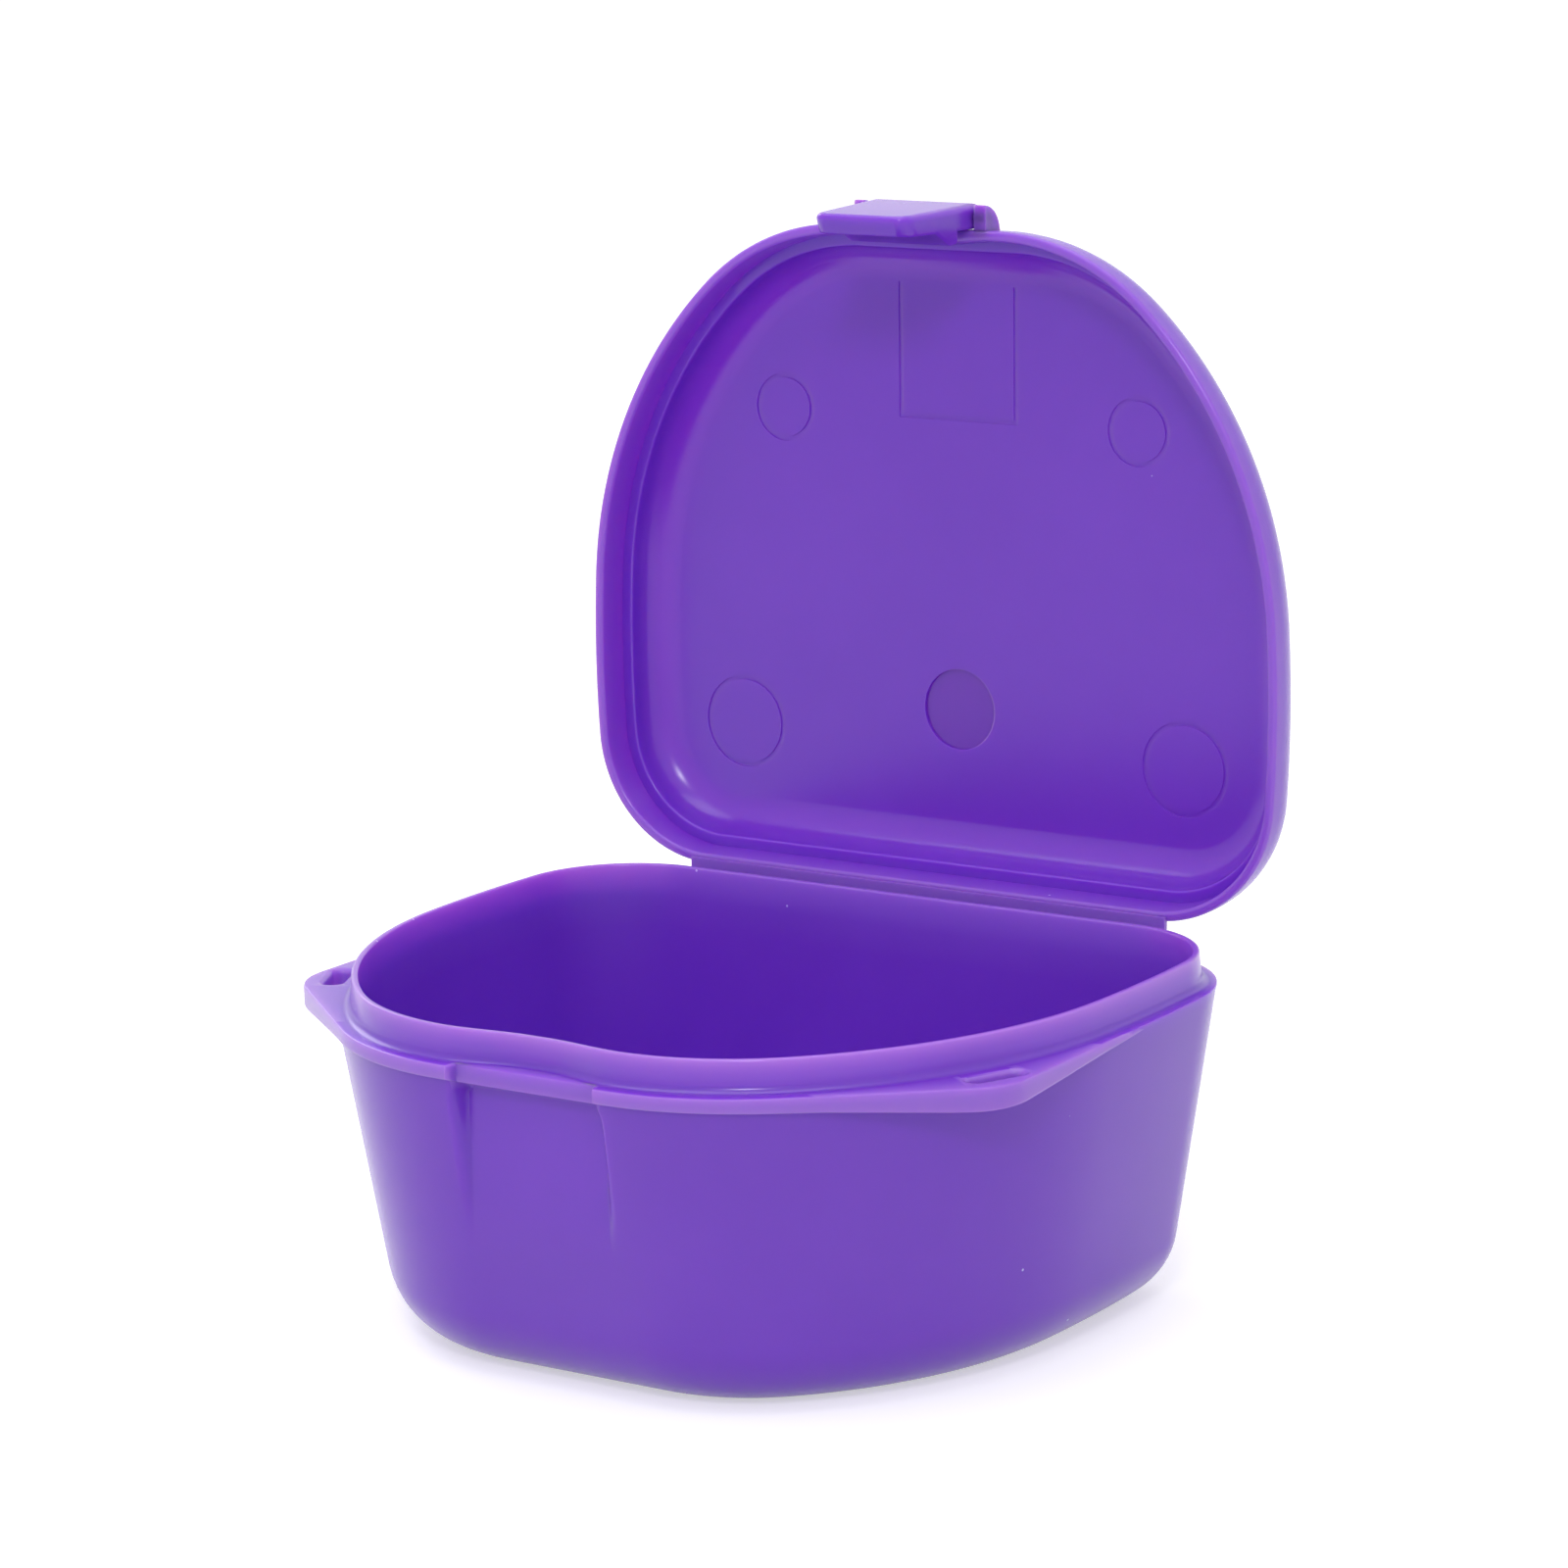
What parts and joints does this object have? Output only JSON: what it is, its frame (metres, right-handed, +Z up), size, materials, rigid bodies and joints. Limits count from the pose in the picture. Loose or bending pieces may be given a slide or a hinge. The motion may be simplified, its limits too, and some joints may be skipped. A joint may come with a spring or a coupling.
{
  "type": "retainer case",
  "caption": "Rounded hinged plastic case for a dental retainer, with a deep tub, a snap-over lid, a front latch and side ears for a cord.",
  "frame": {"origin": "on the table under the middle of the lid's plan outline", "axes": "+X to the case's right seen from its latch, +Y to the hinge, +Z up"},
  "size_m": [0.0806, 0.0781, 0.1033],
  "materials": {
    "purple_plastic": "satin"
  },
  "bodies": {
    "tub": {"base_tub": "purple_plastic", "hinge_strap": "purple_plastic"},
    "lid": {"lid_shell": "purple_plastic"},
    "clasp": {"latch": "purple_plastic"}
  },
  "joints": [
    {"name": "lid_hinge", "type": "hinge", "parent": "tub", "child": "lid", "pos_m": [0, 0.0352, 0.03204], "axis": [-1, 0, 0], "range_deg": [-91.2, 88.8], "deforming": ["hinge_strap"]},
    {"name": "latch_pivot", "type": "hinge", "parent": "lid", "child": "clasp", "pos_m": [0, 0.03707, 0.10159], "axis": [-1, 0, 0], "range_deg": [0, 110]}
  ]
}
